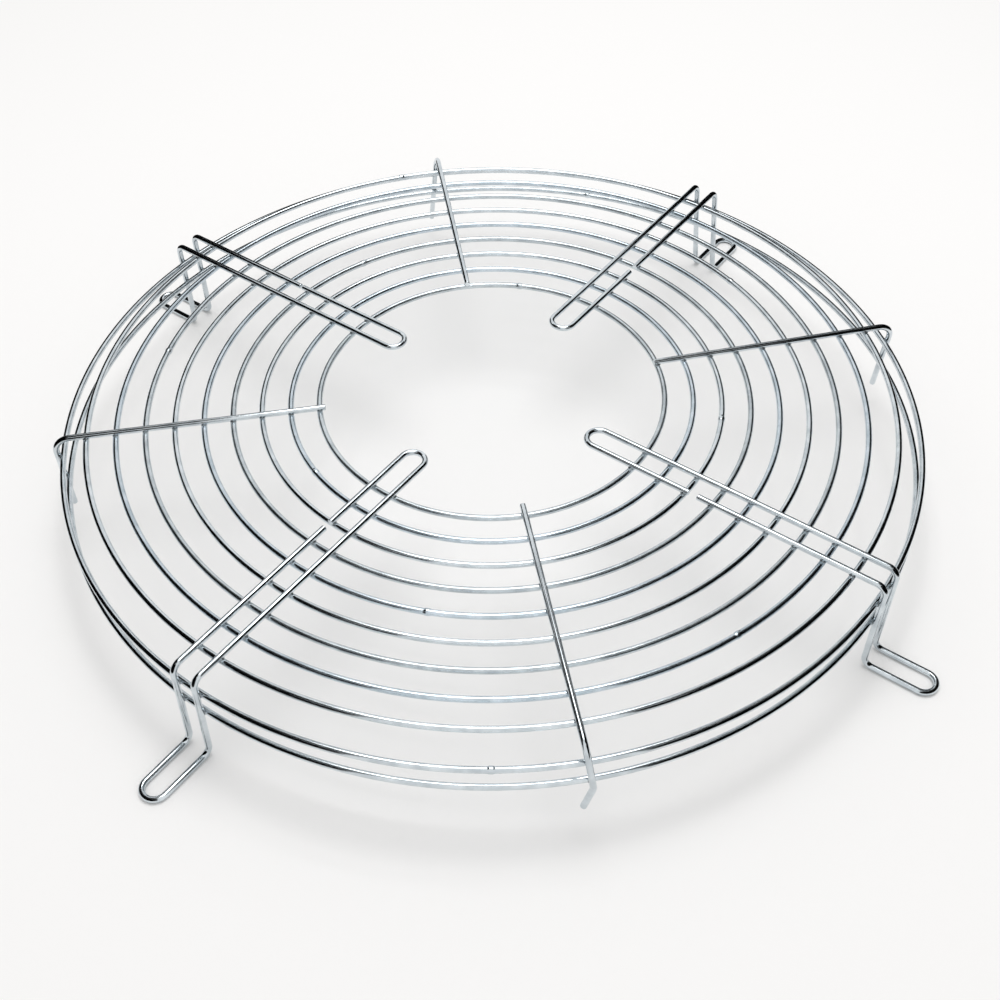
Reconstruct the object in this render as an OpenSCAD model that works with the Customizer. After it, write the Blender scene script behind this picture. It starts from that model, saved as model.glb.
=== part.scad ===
// Wire fan guard: nine concentric grille rings and two skirt rings of round steel wire,
// spot-welded under four hairpin legs and four single spokes.
// Origin at the guard's centre on the plane that the feet stand on, +Z up through the grille.
// The legs lie on the X and Y axes, leg 1 on +X and the rest anticlockwise from above,
// and each spoke lies between two legs, spoke 1 after leg 1.

/* [Grille rings] */
// Diameter of the innermost ring, to the middle of its wire
inner_ring_d = 173; // [150:1:195]
// Spacing of the grille rings, middle to middle
ring_pitch = 14.2; // [12:0.1:16]
// Diameter of the wire that all rings are bent from
ring_wire_d = 3; // [2:0.1:4]
// Height of the grille rings over the feet's plane, to the middle of the wire
grille_h = 54; // [48:1:70]

/* [Skirt rings] */
// How far the skirt rings stand outside the outermost grille ring
skirt_step = 13; // [11:0.5:20]
// Depth of the upper skirt ring below the grille rings
upper_skirt_drop = 9; // [8:0.5:14]
// Spacing of the two skirt rings, middle to middle
skirt_spacing = 13; // [8:0.5:16]

/* [Legs] */
// Diameter of the leg wire
leg_wire_d = 3; // [2:0.1:4]
// Spacing of the two runs of a leg, middle to middle
leg_spacing = 12; // [10:0.5:14]
// Radius that a leg reaches in to, over the middle of its wire
leg_tip_r = 58; // [45:1:68]
// Span across opposite feet, over the wire
feet_span = 500; // [490:1:540]
// Bend radius of a leg's corners, to the middle of the wire
leg_bend_r = 4.5; // [3:0.5:6]
// Gap between the two ends of each leg's wire, leg by leg
wire_gaps = [4.5, 5, 1.5, 4]; // [0.5:0.5:6]
// How far outside the middle of the third ring gap each wire gap lies, leg by leg
gap_shifts = [-2.5, 1, 10.5, -3.5]; // [-4:0.5:12]
// Sideways lean of each leg's drop, in degrees, anticlockwise from above
leg_leans = [1, -5, 0, -3.5]; // [-6:0.5:6]

/* [Spokes] */
// Diameter of the spoke wire
spoke_wire_d = 3; // [2:0.1:4]
// Length of a spoke's wire from its inner end to its lower end, along its corner
spoke_length = 176; // [150:1:178]
// Bend radius of a spoke's corner, to the middle of the wire
spoke_bend_r = 8; // [4:0.5:9]
// How far each spoke's inner end reaches in past the middle of the innermost ring
spoke_reaches = [2, 1.5, 3, 4.5]; // [1.5:0.5:8]
// How far each spoke is turned from midway between its legs, in degrees
spoke_turns = [3.4, 0.2, 0.5, 1]; // [-5:0.1:5]
// Sideways lean of each spoke's drop, in degrees
drop_leans = [6, 6.5, 0, 8]; // [0:0.5:12]
// Sideways kink of each spoke's lower end, in degrees
end_kinks = [0, 0, 0, 24]; // [0:1:30]
// How far past the lower skirt ring a kink starts, along the drop
kink_depth = 3; // [2:0.5:6]

/* [Bends and welds] */
// How much thinner than its wire a bend is, where the wire was stretched
bend_thinning = 0.04; // [0.02:0.01:0.1]
// Depth that crossing wires are pressed into each other
weld_set = 0.5; // [0.2:0.1:0.8]
// Diameter of the bead where a ring's two ends are welded together
bead_d = 3.8; // [3.2:0.1:4.6]
// Length of that bead
bead_length = 3; // [1:0.5:6]

/* [Hidden] */

legs = 4;
quarter = 360 / legs;
ring_count = 9;
gap_ring = 3;
zinc = "lightsteelblue";
wire_fn = 24;
ring_fn = 180;

// How far a bend runs on inside the wire at each of its ends
bend_lap = 0.2;
// Way that a straight wire's seam faces, as near as it can: up and outwards
seam_way = [1, 0, 1];

// Where each ring's two ends are welded together, in degrees from leg 1
grille_joints = [116, 250, 25, 160, 295, 70, 205, 340, 142];
upper_joint = 306;
lower_joint = 110;

skirt_r = ring_r(ring_count) + skirt_step;
upper_skirt_z = grille_h - upper_skirt_drop;
lower_skirt_z = upper_skirt_z - skirt_spacing;

leg_seat = (ring_wire_d + leg_wire_d) / 2 - weld_set;
leg_arm_z = grille_h + leg_seat;
leg_drop_r = skirt_r + leg_seat;
foot_z = leg_wire_d / 2;
foot_end_r = (feet_span - leg_wire_d + bend_thinning) / 2;
half_spacing = leg_spacing / 2;

spoke_seat = (ring_wire_d + spoke_wire_d) / 2 - weld_set;
spoke_arm_z = grille_h + spoke_seat;
spoke_drop_r = skirt_r + spoke_seat;
kink_drop = spoke_arm_z - lower_skirt_z + kink_depth;
kink_bend_r = 2 * spoke_wire_d;

function ring_r(number) = inner_ring_d / 2 + (number - 1) * ring_pitch;
function unit(v) = v / norm(v);
function turn_at(a, b, c) = acos(unit(b - a) * unit(c - b));

// Length of straight wire that the bend at point i takes up on each side
function trim_at(points, radii, i) =
    i == 0 || i == len(points) - 1
        ? 0
        : radii[i] * tan(turn_at(points[i - 1], points[i], points[i + 1]) / 2);

// Length of the straight wire between points i and i + 1
function run_length(points, radii, i) =
    norm(points[i + 1] - points[i]) - trim_at(points, radii, i) - trim_at(points, radii, i + 1);

// The straight wire between points i and i + 1
module run(points, radii, i, wire_d) {
    way = unit(points[i + 1] - points[i]);
    seam = unit(seam_way - (seam_way * way) * way);
    side = cross(way, seam);
    start = points[i] + way * trim_at(points, radii, i);
    multmatrix([
        [seam.x, side.x, way.x, start.x],
        [seam.y, side.y, way.y, start.y],
        [seam.z, side.z, way.z, start.z]
    ])
        cylinder(d = wire_d, h = run_length(points, radii, i), $fn = wire_fn);
}

// The bend of a wire at point i, stretched a little thinner than the straight wire
module bend(points, radii, i, wire_d) {
    along = unit(points[i] - points[i - 1]);
    away = unit(points[i + 1] - points[i]);
    turned = turn_at(points[i - 1], points[i], points[i + 1]);
    axis = unit(cross(along, away));
    middle = points[i] + unit(away - along) * radii[i] / cos(turned / 2);
    start = unit(points[i] - along * trim_at(points, radii, i) - middle);
    lap_turn = bend_lap / radii[i] * 180 / PI;
    multmatrix([
        [start.x, along.x, axis.x, middle.x],
        [start.y, along.y, axis.y, middle.y],
        [start.z, along.z, axis.z, middle.z]
    ])
        rotate(-lap_turn)
            rotate_extrude(angle = turned + 2 * lap_turn, $fn = ring_fn)
                translate([radii[i], 0])
                    circle(d = wire_d - bend_thinning, $fn = wire_fn);
}

// One wire bent along a list of corner points, with a bend radius for each corner
module bent_wire(points, radii, wire_d) {
    last = len(points) - 1;
    for (i = [0 : last - 1])
        if (run_length(points, radii, i) > bend_lap) run(points, radii, i, wire_d);
    for (i = [1 : last - 1])
        bend(points, radii, i, wire_d);
}

// Corners of a leg's wire on the +X side, from the outer side of its gap round to the inner side
function leg_points(number) =
    let (
        gap_r = ring_r(gap_ring) + ring_pitch / 2 + gap_shifts[number - 1],
        half_gap = wire_gaps[number - 1] / 2,
        shift = (leg_arm_z - foot_z) * tan(leg_leans[number - 1])
    ) [
        [gap_r + half_gap, -half_spacing, leg_arm_z],
        [leg_drop_r, -half_spacing, leg_arm_z],
        [leg_drop_r, shift - half_spacing, foot_z],
        [foot_end_r, shift - half_spacing, foot_z],
        [foot_end_r, shift + half_spacing, foot_z],
        [leg_drop_r, shift + half_spacing, foot_z],
        [leg_drop_r, half_spacing, leg_arm_z],
        [leg_tip_r, half_spacing, leg_arm_z],
        [leg_tip_r, -half_spacing, leg_arm_z],
        [gap_r - half_gap, -half_spacing, leg_arm_z]
    ];
leg_radii = [
    0, leg_bend_r, leg_bend_r, half_spacing, half_spacing,
    leg_bend_r, leg_bend_r, half_spacing, half_spacing, 0
];

// Which of those corners start the runs across the grille rings and past the skirt rings
leg_arm_runs = [0, 6, 8];
leg_drop_runs = [1, 5];

// Corners of a spoke's wire in the spoke's own frame, where a kinked end turns towards -Y
function spoke_points(number) =
    let (
        start_r = ring_r(1) - spoke_reaches[number - 1],
        drop = spoke_length - (spoke_drop_r - start_r),
        kink = end_kinks[number - 1],
        trim = kink_bend_r * tan(kink / 2),
        kink_z = -kink_drop - trim,
        end_length = drop - kink_drop - kink_bend_r * kink * PI / 180 + trim,
        way = [0, -sin(kink), -cos(kink)]
    )
    concat(
        [[start_r, 0, 0], [spoke_drop_r, 0, 0]],
        kink > 0
            ? [[spoke_drop_r, 0, kink_z], [spoke_drop_r, 0, kink_z] + end_length * way]
            : [[spoke_drop_r, 0, -drop]]
    );
spoke_radii = [0, spoke_bend_r, kink_bend_r, 0];
spoke_arm_run = 0;
spoke_drop_run = 1;

// Puts a leg's own frame, with its arm along +X, in its place
module leg_place(number) {
    rotate(quarter * (number - 1))
        children();
}

module leg(number) {
    color(zinc)
        leg_place(number)
            bent_wire(leg_points(number), leg_radii, leg_wire_d);
}

// Puts a spoke's own frame, with its arm along +X and its drop along -Z, in its place
module spoke_place(number) {
    rotate(quarter * (number - 0.5) + spoke_turns[number - 1])
        translate([0, 0, spoke_arm_z])
            rotate([drop_leans[number - 1], 0, 0])
                children();
}

module spoke(number) {
    color(zinc)
        spoke_place(number)
            bent_wire(spoke_points(number), spoke_radii, spoke_wire_d);
}

// The same given straight runs of all legs and all spokes, as they lie against the rings
module welded_runs(leg_runs, spoke_run) {
    for (number = [1 : legs]) {
        leg_place(number)
            for (i = leg_runs)
                run(leg_points(number), leg_radii, i, leg_wire_d);
        spoke_place(number)
            run(spoke_points(number), spoke_radii, spoke_run, spoke_wire_d);
    }
}

// A closed ring of wire, its seam inwards, with the bead that joins its ends
module closed_ring(radius, joint) {
    rotate_extrude($fn = ring_fn)
        translate([radius, 0])
            rotate(180)
                circle(d = ring_wire_d, $fn = wire_fn);
    bead_turn = bead_length / radius * 180 / PI;
    rotate(joint - bead_turn / 2)
        rotate_extrude(angle = bead_turn, $fn = ring_fn)
            translate([radius, 0])
                circle(d = bead_d, $fn = wire_fn);
}

// A grille ring, pressed in where the legs and spokes are welded across it
module grille_ring(number) {
    color(zinc)
        difference() {
            translate([0, 0, grille_h])
                closed_ring(ring_r(number), grille_joints[number - 1]);
            welded_runs(leg_arm_runs, spoke_arm_run);
        }
}

// A skirt ring, pressed in where the drops of legs and spokes are welded to its outside
module skirt_ring(z, joint) {
    color(zinc)
        difference() {
            translate([0, 0, z])
                closed_ring(skirt_r, joint);
            welded_runs(leg_drop_runs, spoke_drop_run);
        }
}

grille_ring(1);  // grille_ring_1
grille_ring(2);  // grille_ring_2
grille_ring(3);  // grille_ring_3
grille_ring(4);  // grille_ring_4
grille_ring(5);  // grille_ring_5
grille_ring(6);  // grille_ring_6
grille_ring(7);  // grille_ring_7
grille_ring(8);  // grille_ring_8
grille_ring(9);  // grille_ring_9
skirt_ring(upper_skirt_z, upper_joint);  // skirt_ring_upper
skirt_ring(lower_skirt_z, lower_joint);  // skirt_ring_lower
leg(1);  // leg_1
leg(2);  // leg_2
leg(3);  // leg_3
leg(4);  // leg_4
spoke(1);  // spoke_1
spoke(2);  // spoke_2
spoke(3);  // spoke_3
spoke(4);  // spoke_4
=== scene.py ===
"""Wire fan guard: bright zinc-plated rings, hairpin legs and spokes, spot-welded where they cross."""
import math

import bpy
from mathutils import Matrix, Vector


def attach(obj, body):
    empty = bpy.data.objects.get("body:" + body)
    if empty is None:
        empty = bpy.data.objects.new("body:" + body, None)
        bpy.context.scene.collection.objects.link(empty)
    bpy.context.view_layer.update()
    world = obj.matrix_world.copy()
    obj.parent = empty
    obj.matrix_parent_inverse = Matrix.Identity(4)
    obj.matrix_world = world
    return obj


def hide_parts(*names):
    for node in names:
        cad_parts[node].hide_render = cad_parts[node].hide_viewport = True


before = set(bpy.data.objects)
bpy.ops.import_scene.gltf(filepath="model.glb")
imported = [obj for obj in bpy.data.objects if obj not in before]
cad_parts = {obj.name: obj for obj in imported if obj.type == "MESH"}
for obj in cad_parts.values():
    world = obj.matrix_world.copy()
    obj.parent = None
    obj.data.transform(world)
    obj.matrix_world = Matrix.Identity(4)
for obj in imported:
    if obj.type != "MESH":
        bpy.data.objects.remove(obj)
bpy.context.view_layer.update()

MM = 0.001

# ---------------------------------------------------------------- sizes, in metres and degrees
WIRE_D = 3 * MM
WELD_SET = 0.5 * MM
INNER_RING_R = 86.5 * MM
RING_PITCH = 14.2 * MM
RING_COUNT = 9
GRILLE_Z = 54 * MM
SKIRT_STEP = 13 * MM
SKIRT_Z = {"skirt_ring_upper": 45 * MM, "skirt_ring_lower": 32 * MM}

# legs and spokes are numbered anticlockwise, and their lists run in that order
QUARTERS = range(1, 5)

FEET_SPAN = 500 * MM
LEG_SPACING = 12 * MM
LEG_TIP_R = 58 * MM
LEG_BEND_R = 4.5 * MM
# a leg's wire is open halfway from this ring to the next, but for the leg's own shift outwards
GAP_AFTER_RING = 3
WIRE_GAPS = [4.5 * MM, 5 * MM, 1.5 * MM, 4 * MM]
GAP_SHIFTS = [-2.5 * MM, 1 * MM, 10.5 * MM, -3.5 * MM]
LEG_LEANS = [1, -5, 0, -3.5]

SPOKE_LENGTH = 176 * MM
SPOKE_BEND_R = 8 * MM
SPOKE_REACHES = [2 * MM, 1.5 * MM, 3 * MM, 4.5 * MM]
SPOKE_TURNS = [3.4, 0.2, 0.5, 1]
DROP_LEANS = [6, 6.5, 0, 8]
END_KINKS = [0, 0, 0, 24]
KINK_DEPTH = 3 * MM
KINK_BEND_R = 2 * WIRE_D

# where each ring's two ends are butt-welded, as an angle from leg 1
GRILLE_JOINTS = [116, 250, 25, 160, 295, 70, 205, 340, 142]
SKIRT_JOINTS = {"skirt_ring_upper": 306, "skirt_ring_lower": 110}
# the butt weld's bead, down to about a third of its height at BEAD_FALL from the joint
BEAD_SWELL = 0.25 * MM
BEAD_LENGTH = 3 * MM
BEAD_FALL = 0.42 * BEAD_LENGTH

# the flash at a spot weld, and its smallest and largest cushions as shares of that size
FLASH_R = 1.7 * MM
FLASH_THICKNESS = 0.8 * MM
FLASH_UNEVENNESS = 0.5 * MM
FLASH_LUMP = 1.4 * MM
FLASH_SHARES = (0.85, 1.12)

# worked out from those
SEAT = WIRE_D - WELD_SET
ARM_Z = GRILLE_Z + SEAT
SKIRT_R = INNER_RING_R + (RING_COUNT - 1) * RING_PITCH + SKIRT_STEP
DROP_R = SKIRT_R + SEAT
FOOT_END_R = (FEET_SPAN - WIRE_D) / 2
FOOT_Z = WIRE_D / 2
HALF_SPACING = LEG_SPACING / 2

# how finely the wires are drawn
WIRE_SIDES = 24
RING_STEPS = 240
BEAD_STEPS = 12
BEND_STEP = math.radians(6)
SHORTEST_STRAIGHT = 0.01 * MM


def ring_r(number):
    """A grille ring's radius to the middle of its wire, counting from the innermost."""
    return INNER_RING_R + (number - 1) * RING_PITCH


# ---------------------------------------------------------------- node helper
def colour(hex_code):
    """An sRGB hex colour as linear RGBA."""
    values = [int(hex_code[i:i + 2], 16) / 255 for i in (0, 2, 4)]
    linear = [v / 12.92 if v <= 0.04045 else ((v + 0.055) / 1.055) ** 2.4 for v in values]
    return (*linear, 1)


def add_node(tree, kind, settings=None, links=None):
    """Adds a node, sets its properties and inputs, and links other nodes' outputs to its inputs."""
    node = tree.nodes.new(kind)
    for name, value in (settings or {}).items():
        if isinstance(name, str) and hasattr(node, name):
            setattr(node, name, value)
        else:
            node.inputs[name].default_value = value
    for name, socket in (links or {}).items():
        tree.links.new(socket, node.inputs[name])
    return node


def new_material(name):
    """A material with an empty tree, and that tree."""
    material = bpy.data.materials.new(name)
    material.use_nodes = True
    material.node_tree.nodes.clear()
    return material, material.node_tree


# ---------------------------------------------------------------- finishes
CLOUD_SIZE = 9 * MM
DIE_LINE_SPACING = 0.15 * MM
DIE_LINE_LENGTH = 40 * MM
DIE_LINE_DEPTH = 0.02 * MM
FLASH_GRAIN = 0.6 * MM
FLASH_GRAIN_DEPTH = 0.1 * MM


def bright_zinc(name, tone, roughness):
    """Electroplated zinc with a clear blue passivate over cold-drawn wire: a cool bright mirror,
    softened along the wire by die lines, with faint cloudy patches where the plating lay thicker."""
    material, tree = new_material(name)
    along = add_node(tree, "ShaderNodeAttribute", {"attribute_name": "wire_space"})
    place = add_node(tree, "ShaderNodeTexCoord")
    clouds = add_node(
        tree, "ShaderNodeTexNoise",
        {"Scale": 1 / CLOUD_SIZE, "Detail": 3.0, "Roughness": 0.55},
        {"Vector": place.outputs["Object"]},
    )
    # die lines run with the wire, so they follow its place in the wire laid out straight
    stretched = add_node(
        tree, "ShaderNodeMapping",
        {"Scale": (1 / DIE_LINE_SPACING, 1 / DIE_LINE_SPACING, 1 / DIE_LINE_LENGTH)},
        {"Vector": along.outputs["Vector"]},
    )
    lines = add_node(
        tree, "ShaderNodeTexNoise", {"Scale": 1.0, "Detail": 2.0, "Roughness": 0.6},
        {"Vector": stretched.outputs["Vector"]},
    )
    tint = add_node(tree, "ShaderNodeValToRGB", None, {"Fac": clouds.outputs["Fac"]})
    tint.color_ramp.elements[0].position = 0.35
    tint.color_ramp.elements[0].color = colour(tone[0])
    tint.color_ramp.elements[1].position = 0.65
    tint.color_ramp.elements[1].color = colour(tone[1])
    gloss = add_node(
        tree, "ShaderNodeMapRange",
        {"From Min": 0.3, "From Max": 0.7, "To Min": roughness[0], "To Max": roughness[1]},
        {"Value": lines.outputs["Fac"]},
    )
    relief = add_node(
        tree, "ShaderNodeBump", {"Strength": 0.15, "Distance": DIE_LINE_DEPTH},
        {"Height": lines.outputs["Fac"]},
    )
    shader = add_node(
        tree, "ShaderNodeBsdfPrincipled", {"Metallic": 1.0},
        {
            "Base Color": tint.outputs["Color"],
            "Roughness": gloss.outputs["Result"],
            "Normal": relief.outputs["Normal"],
        },
    )
    add_node(tree, "ShaderNodeOutputMaterial", None, {"Surface": shader.outputs["BSDF"]})
    return material


def weld_flash_zinc():
    """Plated flash squeezed out of a spot weld: the same zinc, duller and darker in tone, with painted
    shade darkening the creases of its grain.
    """
    material, tree = new_material("zinc_over_weld_flash")
    place = add_node(tree, "ShaderNodeTexCoord")
    grain = add_node(
        tree, "ShaderNodeTexNoise", {"Scale": 1 / FLASH_GRAIN, "Detail": 3.0},
        {"Vector": place.outputs["Object"]},
    )
    # the grain's low values, where the bump below sinks its hollows, take the dark tone: painted shade
    # in the creases
    tint = add_node(tree, "ShaderNodeValToRGB", None, {"Fac": grain.outputs["Fac"]})
    tint.color_ramp.elements[0].position = 0.35
    tint.color_ramp.elements[0].color = colour("6F7476")
    tint.color_ramp.elements[1].position = 0.7
    tint.color_ramp.elements[1].color = colour("AEB4B8")
    relief = add_node(
        tree, "ShaderNodeBump", {"Strength": 0.4, "Distance": FLASH_GRAIN_DEPTH},
        {"Height": grain.outputs["Fac"]},
    )
    shader = add_node(
        tree, "ShaderNodeBsdfPrincipled", {"Metallic": 1.0, "Roughness": 0.38},
        {"Base Color": tint.outputs["Color"], "Normal": relief.outputs["Normal"]},
    )
    add_node(tree, "ShaderNodeOutputMaterial", None, {"Surface": shader.outputs["BSDF"]})
    return material


def matt_card(name, shade):
    """Matt painted card for the floor and the studio's black screens."""
    material, tree = new_material(name)
    shader = add_node(
        tree, "ShaderNodeBsdfPrincipled",
        {"Base Color": colour(shade), "Roughness": 0.9, "Specular IOR Level": 0.0},
    )
    add_node(tree, "ShaderNodeOutputMaterial", None, {"Surface": shader.outputs["BSDF"]})
    return material


# ---------------------------------------------------------------- Geometry Nodes
def new_tree(name, inputs):
    """A Geometry Nodes tree with a Geometry input, the named inputs and a Geometry output."""
    tree = bpy.data.node_groups.new(name, "GeometryNodeTree")
    for label, kind in [("Geometry", "NodeSocketGeometry"), *inputs]:
        tree.interface.new_socket(label, in_out="INPUT", socket_type=kind)
    tree.interface.new_socket("Geometry", in_out="OUTPUT", socket_type="NodeSocketGeometry")
    return tree, add_node(tree, "NodeGroupInput")


def close_tree(tree, group_in, geometry):
    """Ends a tree in Realize Instances and Set Material."""
    realized = add_node(tree, "GeometryNodeRealizeInstances", None, {"Geometry": geometry})
    coated = add_node(
        tree, "GeometryNodeSetMaterial", None,
        {"Geometry": realized.outputs["Geometry"], "Material": group_in.outputs["Material"]},
    )
    add_node(tree, "NodeGroupOutput", None, {"Geometry": coated.outputs["Geometry"]})
    return tree


def round_wire_tree():
    """Sweeps a round section along a path. The path's radius is the wire's swell, 1 for plain wire.
    wire_space holds each point's place in the wire laid out straight, for patterns that follow it."""
    tree, group_in = new_tree("round_wire", [
        ("Wire Diameter", "NodeSocketFloat"),
        ("Sides", "NodeSocketInt"),
        ("Material", "NodeSocketMaterial"),
    ])
    along = add_node(tree, "GeometryNodeSplineParameter")
    kept_length = add_node(
        tree, "GeometryNodeCaptureAttribute", {"domain": "POINT"},
        {"Geometry": group_in.outputs["Geometry"]},
    )
    kept_length.capture_items.new("FLOAT", "Length")
    tree.links.new(along.outputs["Length"], kept_length.inputs["Length"])
    half = add_node(
        tree, "ShaderNodeMath", {"operation": "MULTIPLY", 1: 0.5},
        {0: group_in.outputs["Wire Diameter"]},
    )
    section = add_node(
        tree, "GeometryNodeCurvePrimitiveCircle", {"mode": "RADIUS"},
        {"Resolution": group_in.outputs["Sides"], "Radius": half.outputs[0]},
    )
    section_place = add_node(tree, "GeometryNodeInputPosition")
    kept_section = add_node(
        tree, "GeometryNodeCaptureAttribute", {"domain": "POINT"},
        {"Geometry": section.outputs["Curve"]},
    )
    kept_section.capture_items.new("VECTOR", "Section")
    tree.links.new(section_place.outputs["Position"], kept_section.inputs["Section"])
    swell = add_node(tree, "GeometryNodeInputRadius")
    swept = add_node(
        tree, "GeometryNodeCurveToMesh", {"Fill Caps": True},
        {
            "Curve": kept_length.outputs["Geometry"],
            "Profile Curve": kept_section.outputs["Geometry"],
            "Scale": swell.outputs["Radius"],
        },
    )
    parts = add_node(
        tree, "ShaderNodeSeparateXYZ", None, {"Vector": kept_section.outputs["Section"]},
    )
    laid_out = add_node(
        tree, "ShaderNodeCombineXYZ", None,
        {
            "X": parts.outputs["X"],
            "Y": parts.outputs["Y"],
            "Z": kept_length.outputs["Length"],
        },
    )
    stored = add_node(
        tree, "GeometryNodeStoreNamedAttribute",
        {"data_type": "FLOAT_VECTOR", "domain": "POINT", "Name": "wire_space"},
        {"Geometry": swept.outputs["Mesh"], "Value": laid_out.outputs["Vector"]},
    )
    smooth = add_node(
        tree, "GeometryNodeSetShadeSmooth", {"Shade Smooth": True},
        {"Geometry": stored.outputs["Geometry"]},
    )
    return close_tree(tree, group_in, smooth.outputs["Geometry"])


def weld_flash_tree():
    """Puts a small uneven cushion of flash on each point, flattened along the point's weld_way."""
    tree, group_in = new_tree("weld_flash", [
        ("Flash Radius", "NodeSocketFloat"),
        ("Flash Thickness", "NodeSocketFloat"),
        ("Unevenness", "NodeSocketFloat"),
        ("Seed", "NodeSocketInt"),
        ("Material", "NodeSocketMaterial"),
    ])
    ball = add_node(tree, "GeometryNodeMeshUVSphere", {"Segments": 20, "Rings": 12, "Radius": 1.0})
    flat = add_node(
        tree, "ShaderNodeCombineXYZ", None,
        {
            "X": group_in.outputs["Flash Radius"],
            "Y": group_in.outputs["Flash Radius"],
            "Z": group_in.outputs["Flash Thickness"],
        },
    )
    way = add_node(
        tree, "GeometryNodeInputNamedAttribute",
        {"data_type": "FLOAT_VECTOR", "Name": "weld_way"},
    )
    turned = add_node(
        tree, "FunctionNodeAlignRotationToVector", {"axis": "Z"},
        {"Vector": way.outputs["Attribute"]},
    )
    size = add_node(
        tree, "FunctionNodeRandomValue",
        {"data_type": "FLOAT", 2: FLASH_SHARES[0], 3: FLASH_SHARES[1]},
        {"Seed": group_in.outputs["Seed"]},
    )
    sized = add_node(
        tree, "ShaderNodeVectorMath", {"operation": "SCALE"},
        {0: flat.outputs["Vector"], "Scale": size.outputs[1]},
    )
    placed = add_node(
        tree, "GeometryNodeInstanceOnPoints", None,
        {
            "Points": group_in.outputs["Geometry"],
            "Instance": ball.outputs["Mesh"],
            "Rotation": turned.outputs["Rotation"],
            "Scale": sized.outputs["Vector"],
        },
    )
    realized = add_node(
        tree, "GeometryNodeRealizeInstances", None, {"Geometry": placed.outputs["Instances"]},
    )
    lumps = add_node(tree, "ShaderNodeTexNoise", {"Scale": 1 / FLASH_LUMP, "Detail": 1.0})
    centred = add_node(
        tree, "ShaderNodeVectorMath", {"operation": "SUBTRACT", 1: (0.5, 0.5, 0.5)},
        {0: lumps.outputs["Color"]},
    )
    push = add_node(
        tree, "ShaderNodeVectorMath", {"operation": "SCALE"},
        {0: centred.outputs["Vector"], "Scale": group_in.outputs["Unevenness"]},
    )
    uneven = add_node(
        tree, "GeometryNodeSetPosition", None,
        {"Geometry": realized.outputs["Geometry"], "Offset": push.outputs["Vector"]},
    )
    smooth = add_node(
        tree, "GeometryNodeSetShadeSmooth", {"Shade Smooth": True},
        {"Geometry": uneven.outputs["Geometry"]},
    )
    return close_tree(tree, group_in, smooth.outputs["Geometry"])


def made_by(tree, source, name, values):
    """Runs a tree on a source object with the given inputs, and returns the result as a plain piece."""
    bpy.context.collection.objects.link(source)
    modifier = source.modifiers.new(tree.name, "NODES")
    modifier.node_group = tree
    sockets = {s.name: s.identifier for s in tree.interface.items_tree if s.in_out == "INPUT"}
    for label, value in values.items():
        modifier[sockets[label]] = value
    depsgraph = bpy.context.evaluated_depsgraph_get()
    mesh = bpy.data.meshes.new_from_object(source.evaluated_get(depsgraph), depsgraph=depsgraph)
    mesh.name = name
    source.modifiers.remove(modifier)
    bpy.data.objects.remove(source)
    piece = bpy.data.objects.new(name, mesh)
    bpy.context.collection.objects.link(piece)
    return piece


# ---------------------------------------------------------------- paths
def arc(centre, start, axis, turned):
    """Points round an arc from start, turning about axis, without its first point."""
    steps = max(2, round(turned / BEND_STEP))
    return [
        centre + Matrix.Rotation(turned * i / steps, 3, axis) @ (start - centre)
        for i in range(1, steps + 1)
    ]


def bent_path(corners, radii):
    """Corner points joined by straights, with an arc of the given radius at each inner corner."""
    points = [corners[0]]
    for before, corner, after, bend_r in zip(corners, corners[1:], corners[2:], radii):
        into = (corner - before).normalized()
        out = (after - corner).normalized()
        turned = into.angle(out)
        start = corner - into * bend_r * math.tan(turned / 2)
        centre = corner + (out - into).normalized() * bend_r / math.cos(turned / 2)
        if (start - points[-1]).length > SHORTEST_STRAIGHT:
            points.append(start)
        points += arc(centre, start, into.cross(out).normalized(), turned)
    points.append(corners[-1])
    return points


# how far from a sheared end, and how thick there, the wire's broken edge is drawn
SHEARED_EDGE = [(0.0, 0.84), (0.04 * MM, 0.9), (0.13 * MM, 0.97), (0.3 * MM, 1.0), (0.36 * MM, 1.0)]


def with_sheared_ends(points):
    """A wire's path with a slightly broken edge at both ends, and the swell at each of its points."""
    into = (points[1] - points[0]).normalized()
    back = (points[-2] - points[-1]).normalized()
    first = [points[0] + into * depth for depth, _ in SHEARED_EDGE]
    last = [points[-1] + back * depth for depth, _ in reversed(SHEARED_EDGE)]
    edge = [swell for _, swell in SHEARED_EDGE]
    return [*first, *points[1:-1], *last], [*edge, *[1.0] * (len(points) - 2), *reversed(edge)]


def path_object(points, swells, closed):
    """The curve that a wire's middle follows, not yet in the scene."""
    curve = bpy.data.curves.new("path", "CURVE")
    curve.dimensions = "3D"
    spline = curve.splines.new("POLY")
    spline.points.add(len(points) - 1)
    for spot, place, swell in zip(spline.points, points, swells):
        spot.co = (*place, 1)
        spot.radius = swell
    spline.use_cyclic_u = closed
    return bpy.data.objects.new("path", curve)


# ---------------------------------------------------------------- pieces
def wire_piece(name, points, swells, closed, finish):
    """Lays wire along a path, in place of the solid of the same name."""
    piece = made_by(WIRE_TREE, path_object(points, swells, closed), name + "_wire", {
        "Wire Diameter": WIRE_D,
        "Sides": WIRE_SIDES,
        "Material": finish,
    })
    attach(piece, "root")
    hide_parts(name)
    return piece


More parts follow.
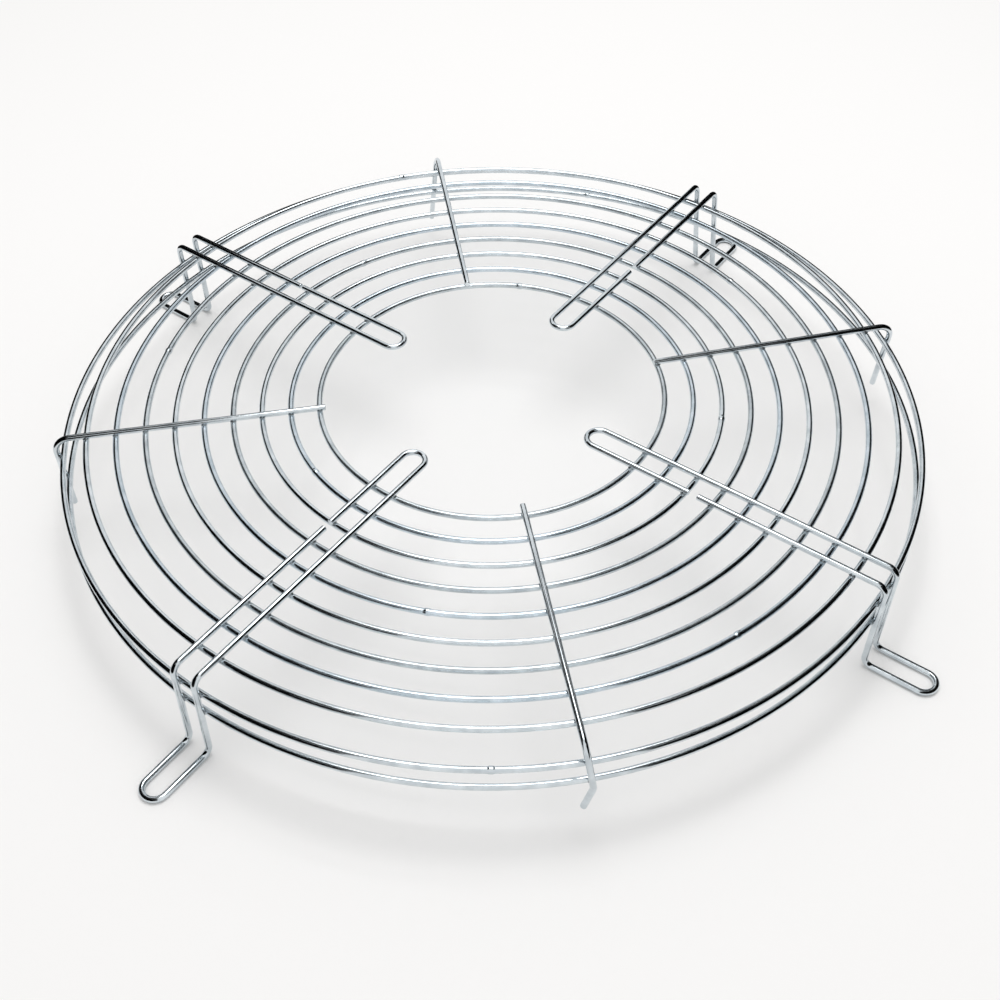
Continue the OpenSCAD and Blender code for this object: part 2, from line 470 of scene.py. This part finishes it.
def ring_piece(name, radius, z, joint, finish):
    """A ring of wire whose two ends meet in a butt weld, with the weld's swelling."""
    bead = [s * BEAD_LENGTH / BEAD_STEPS / radius for s in range(-BEAD_STEPS, BEAD_STEPS + 1)]
    bead_end = bead[-1] + math.pi / RING_STEPS
    round_ring = [2 * math.pi * i / RING_STEPS for i in range(RING_STEPS)]
    angles = bead + [a for a in round_ring if bead_end < a < 2 * math.pi - bead_end]
    start = math.radians(joint)
    points = [
        Vector((radius * math.cos(start + a), radius * math.sin(start + a), z)) for a in angles
    ]
    swells = [
        1 + 2 * BEAD_SWELL / WIRE_D * math.exp(-(a * radius / BEAD_FALL) ** 4)
        if abs(a) < bead_end else 1.0
        for a in angles
    ]
    return wire_piece(name, points, swells, True, finish)


def leg_turn(number):
    """Legs stand a quarter turn apart, the first on the X axis."""
    return Matrix.Rotation(math.radians(90 * (number - 1)), 3, "Z")


def leg_corners(number):
    """Corners of a leg's wire on the +X side, from the outer side of its gap round to the inner."""
    gap_r = ring_r(GAP_AFTER_RING) + RING_PITCH / 2 + GAP_SHIFTS[number - 1]
    half_gap = WIRE_GAPS[number - 1] / 2
    lean = math.tan(math.radians(LEG_LEANS[number - 1]))
    run = [
        (gap_r + half_gap, ARM_Z, -1), (DROP_R, ARM_Z, -1), (DROP_R, FOOT_Z, -1),
        (FOOT_END_R, FOOT_Z, -1), (FOOT_END_R, FOOT_Z, 1), (DROP_R, FOOT_Z, 1),
        (DROP_R, ARM_Z, 1), (LEG_TIP_R, ARM_Z, 1), (LEG_TIP_R, ARM_Z, -1),
        (gap_r - half_gap, ARM_Z, -1),
    ]
    return [Vector((r, side * HALF_SPACING + lean * (ARM_Z - z), z)) for r, z, side in run]


def leg_piece(number, finish):
    """A hairpin leg: two wires side by side that join in a round tip and in the foot's loop."""
    bends = ([LEG_BEND_R] * 2 + [HALF_SPACING] * 2) * 2
    turn = leg_turn(number)
    points, swells = with_sheared_ends([turn @ p for p in bent_path(leg_corners(number), bends)])
    return wire_piece(f"leg_{number}", points, swells, False, finish)


def spoke_turn(number):
    """A spoke stands midway between two legs, and is welded on a little turned from there."""
    return Matrix.Rotation(math.radians(90 * (number - 0.5) + SPOKE_TURNS[number - 1]), 3, "Z")


def spoke_piece(number, finish):
    """A single wire across the rings, bent down over the skirt, with its lower end kinked or not."""
    lean = math.radians(DROP_LEANS[number - 1])
    kink = math.radians(END_KINKS[number - 1])
    start_r = ring_r(1) - SPOKE_REACHES[number - 1]
    corner = Vector((DROP_R, 0, ARM_Z))
    down = Vector((0, math.sin(lean), -math.cos(lean)))
    drop = SPOKE_LENGTH - (DROP_R - start_r)
    corners = [Vector((start_r, 0, ARM_Z)), corner]
    bends = [SPOKE_BEND_R]
    if kink:
        kink_drop = ARM_Z - SKIRT_Z["skirt_ring_lower"] + KINK_DEPTH
        kink_corner = corner + down * (kink_drop + KINK_BEND_R * math.tan(kink / 2))
        kinked = Vector((0, math.sin(lean - kink), -math.cos(lean - kink)))
        corners += [kink_corner, kink_corner + kinked * (drop - kink_drop - KINK_BEND_R * kink / 2)]
        bends.append(KINK_BEND_R)
    else:
        corners.append(corner + down * drop)
    turn = spoke_turn(number)
    points, swells = with_sheared_ends([turn @ p for p in bent_path(corners, bends)])
    return wire_piece(f"spoke_{number}", points, swells, False, finish)


def weld_points():
    """Where wires cross, midway between their middles, and the way from one to the other."""
    welds = []
    for number in QUARTERS:
        leg_lean = math.tan(math.radians(LEG_LEANS[number - 1]))
        drop_lean = math.tan(math.radians(DROP_LEANS[number - 1]))
        runs = [
            (leg_turn(number), -HALF_SPACING, leg_lean),
            (leg_turn(number), HALF_SPACING, leg_lean),
            (spoke_turn(number), 0, drop_lean),
        ]
        for turn, aside, lean in runs:
            for ring in range(1, RING_COUNT + 1):
                out = math.sqrt(ring_r(ring) ** 2 - aside ** 2)
                place = Vector((out, aside, GRILLE_Z + SEAT / 2))
                welds.append((turn @ place, Vector((0, 0, 1))))
            for z in SKIRT_Z.values():
                y = aside + lean * (ARM_Z - z)
                place = Vector((math.sqrt(SKIRT_R ** 2 - y ** 2) + SEAT / 2, y, z))
                welds.append((turn @ place, turn @ Vector((1, 0, 0))))
    return welds


def weld_piece(finish):
    """The flash of all the spot welds, as one piece."""
    welds = weld_points()
    mesh = bpy.data.meshes.new("weld_points")
    mesh.from_pydata([place for place, _ in welds], [], [])
    ways = mesh.attributes.new("weld_way", "FLOAT_VECTOR", "POINT")
    for item, (_, way) in zip(ways.data, welds):
        item.vector = way
    piece = made_by(weld_flash_tree(), bpy.data.objects.new("weld_points", mesh), "weld_flash", {
        "Flash Radius": FLASH_R,
        "Flash Thickness": FLASH_THICKNESS,
        "Unevenness": FLASH_UNEVENNESS,
        "Seed": 4,
        "Material": finish,
    })
    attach(piece, "root")


# wires come from the coil a little brighter or duller, so each takes one of three finishes
FINISHES = [
    bright_zinc("bright_zinc_plated_wire", ("C2CACF", "DCE3E7"), (0.10, 0.20)),
    bright_zinc("bright_zinc_plated_wire_duller", ("B4BCC1", "D2DADE"), (0.18, 0.30)),
    bright_zinc("bright_zinc_plated_wire_cooler", ("B8C4CC", "D4DEE6"), (0.14, 0.24)),
]
WIRE_TREE = round_wire_tree()

for number in range(1, RING_COUNT + 1):
    ring_piece(
        f"grille_ring_{number}", ring_r(number), GRILLE_Z,
        GRILLE_JOINTS[number - 1], FINISHES[number % 3],
    )
for name, z in SKIRT_Z.items():
    ring_piece(name, SKIRT_R, z, SKIRT_JOINTS[name], FINISHES[0])
for number in QUARTERS:
    leg_piece(number, FINISHES[0])
    spoke_piece(number, FINISHES[0])
weld_piece(weld_flash_zinc())


# ---------------------------------------------------------------- studio
FLOOR_R = 8.0

# black card stands close round the set and hangs over its sides, and shows only in the metal
LENS_SIDE = math.radians(-53.6)
SCREEN_R = 0.33
SCREEN_FOOT = 0.012
SCREEN_TOP = 0.24
# the screens leave this much open to each side of the lens, and of the point behind the set
OPEN_TO_LENS = math.radians(22)
OPEN_BEHIND = math.radians(20)
ROOF_Z = 0.5
CARD_STEPS = 96


def stage_card(name, points, faces, finish):
    """Thin card that belongs to the studio and not to the guard."""
    mesh = bpy.data.meshes.new(name)
    mesh.from_pydata(points, [], faces)
    mesh.materials.append(finish)
    card = bpy.data.objects.new(name, mesh)
    bpy.context.collection.objects.link(card)
    return card


def floor_card(finish):
    """A wide level disc that the feet stand on."""
    angles = [2 * math.pi * i / CARD_STEPS for i in range(CARD_STEPS)]
    rim = [(FLOOR_R * math.cos(a), FLOOR_R * math.sin(a), 0) for a in angles]
    return stage_card("floor", rim, [list(range(CARD_STEPS))], finish)


def screen_card(name, start, end, finish):
    """Card stood on edge round the set, from one angle to another."""
    angles = [start + (end - start) * i / CARD_STEPS for i in range(CARD_STEPS + 1)]
    rim = [
        (SCREEN_R * math.cos(a), SCREEN_R * math.sin(a), z)
        for z in (SCREEN_FOOT, SCREEN_TOP) for a in angles
    ]
    faces = [(i, i + 1, CARD_STEPS + i + 2, CARD_STEPS + i + 1) for i in range(CARD_STEPS)]
    return stage_card(name, rim, faces, finish)


def roof_card(name, left, right, near, far, finish):
    """Level card over the set, its edges given to the lens's right and away from the lens."""
    away = Vector((-math.cos(LENS_SIDE), -math.sin(LENS_SIDE), 0))
    aside = Vector((away.y, -away.x, 0))
    corners = [(left, near), (right, near), (right, far), (left, far)]
    points = [aside * across + away * deep + Vector((0, 0, ROOF_Z)) for across, deep in corners]
    return stage_card(name, points, [(0, 1, 2, 3)], finish)


def softbox(name, place, size, power):
    """A square lamp aimed at the middle of the floor."""
    lamp = bpy.data.lights.new(name, "AREA")
    lamp.shape = "SQUARE"
    lamp.size = size
    lamp.energy = power
    box = bpy.data.objects.new(name, lamp)
    box.location = place
    box.rotation_euler = (-Vector(place)).to_track_quat("-Z", "Y").to_euler()
    bpy.context.collection.objects.link(box)


def white_room():
    """Even white light from all round, and a plain pale backdrop for the lens and in reflections."""
    world = bpy.data.worlds.new("white_room")
    world.use_nodes = True
    tree = world.node_tree
    tree.nodes.clear()
    light = add_node(tree, "ShaderNodeBackground", {"Color": colour("FFFFFF"), "Strength": 0.70})
    backdrop = add_node(tree, "ShaderNodeBackground", {"Color": colour("FAFAFA"), "Strength": 1.0})
    rays = add_node(tree, "ShaderNodeLightPath")
    seen = add_node(
        tree, "ShaderNodeMath", {"operation": "MAXIMUM"},
        {0: rays.outputs["Is Camera Ray"], 1: rays.outputs["Is Glossy Ray"]},
    )
    seen_through = add_node(
        tree, "ShaderNodeMath", {"operation": "MAXIMUM"},
        {0: seen.outputs[0], 1: rays.outputs["Is Transmission Ray"]},
    )
    room = add_node(
        tree, "ShaderNodeMixShader", None,
        {
            0: seen_through.outputs[0],
            1: light.outputs["Background"],
            2: backdrop.outputs["Background"],
        },
    )
    add_node(tree, "ShaderNodeOutputWorld", None, {"Surface": room.outputs["Shader"]})
    bpy.context.scene.world = world


floor_card(matt_card("pale_grey_white_card", "F4F3F2"))

black_card = matt_card("black_card", "060707")
screens = [
    screen_card(
        "black_screen_right", LENS_SIDE + OPEN_TO_LENS, LENS_SIDE + math.pi - OPEN_BEHIND, black_card,
    ),
    screen_card(
        "black_screen_left", LENS_SIDE + math.pi + OPEN_BEHIND, LENS_SIDE + 2 * math.pi - OPEN_TO_LENS,
        black_card,
    ),
    roof_card("black_roof_left", left=-0.80, right=-0.16, near=-0.35, far=0.22, finish=black_card),
    roof_card("black_roof_right", left=0.14, right=0.80, near=-0.35, far=0.34, finish=black_card),
]
for screen in screens:
    screen.visible_camera = False
    screen.visible_diffuse = False
    screen.visible_shadow = False

softbox("overhead_softbox", place=(-0.1, 0.25, 1.6), size=0.9, power=11.5)
white_room()
bpy.context.scene.view_settings.view_transform = "Standard"


# ---------------------------------------------------------------- camera
CAMERA_PLACE = Vector((0.2910, -0.3891, 0.4933))
CAMERA_HEADING = math.radians(126.4)
CAMERA_PITCH = math.radians(46.93)
CAMERA_ROLL = math.radians(-0.71)
FOCAL_LENGTH = 46.69
SENSOR_WIDTH = 36.0

lens = bpy.data.cameras.new("camera")
lens.sensor_width = SENSOR_WIDTH
lens.lens = FOCAL_LENGTH
lens.clip_start = 10 * MM
camera = bpy.data.objects.new("camera", lens)
forward = Vector((
    math.cos(CAMERA_HEADING) * math.cos(CAMERA_PITCH),
    math.sin(CAMERA_HEADING) * math.cos(CAMERA_PITCH),
    -math.sin(CAMERA_PITCH),
))
level_right = forward.cross(Vector((0, 0, 1))).normalized()
level_up = level_right.cross(forward)
right = level_right * math.cos(CAMERA_ROLL) + level_up * math.sin(CAMERA_ROLL)
up = right.cross(forward)
turned = Matrix((right, up, -forward)).transposed().to_4x4()
camera.matrix_world = Matrix.Translation(CAMERA_PLACE) @ turned
bpy.context.collection.objects.link(camera)
bpy.context.scene.camera = camera
